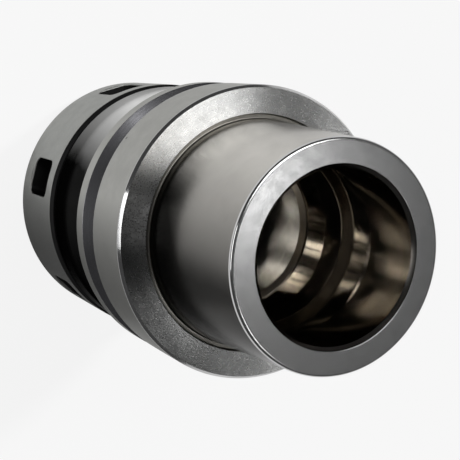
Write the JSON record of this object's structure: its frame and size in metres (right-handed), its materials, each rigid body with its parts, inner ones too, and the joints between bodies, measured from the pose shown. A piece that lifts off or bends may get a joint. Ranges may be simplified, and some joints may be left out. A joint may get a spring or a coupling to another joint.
{
  "type": "collet chuck",
  "caption": "Collet chuck for a spindle: hollow taper shank, grooved flange, waisted body and a clamping nut with spanner pockets that closes a slotted collet.",
  "frame": {"origin": "on the axis of rotation, in the plane of the clamping nut's front face", "axes": "+Z along the axis of rotation, from the nut to the tip of the shank; +X through the middle of one spanner pocket"},
  "size_m": [0.063, 0.063, 0.107],
  "materials": {
    "ground_steel": "hardened steel, ground, with fine turning marks and a few specks",
    "nut_steel": "hardened steel, matte",
    "ring_steel": "hardened steel, turned",
    "ball_steel": "polished bearing steel",
    "plug_steel": "black oxide",
    "spring_steel": "spring steel, fine ground"
  },
  "bodies": {
    "chuck": {"chuck_body": "ground_steel"},
    "carriage": {"collet": "spring_steel", "cone_ring": "ring_steel"},
    "nut": {"clamping_nut": "nut_steel", "ball_plug": "plug_steel"},
    "ball_row": {"bearing_balls": "ball_steel"}
  },
  "joints": [
    {"name": "nut_travel", "type": "slide", "parent": "chuck", "child": "carriage", "axis": [0, 0, -1], "range_m": [0, 0.01201]},
    {"name": "nut_turn", "type": "hinge", "parent": "carriage", "child": "nut", "pos_m": [0, 0, 0.0078], "axis": [0, 0, -1], "range_deg": [0, 2880]},
    {"name": "ball_roll", "type": "hinge", "parent": "carriage", "child": "ball_row", "pos_m": [0, 0, 0.0078], "axis": [0, 0, -1], "range_deg": [0, 1440]}
  ],
  "couplings": [
    {"joint": "nut_travel", "follows": "nut_turn", "m_per_rad": 0.00023873},
    {"joint": "ball_roll", "follows": "nut_turn", "ratio": 0.5}
  ]
}
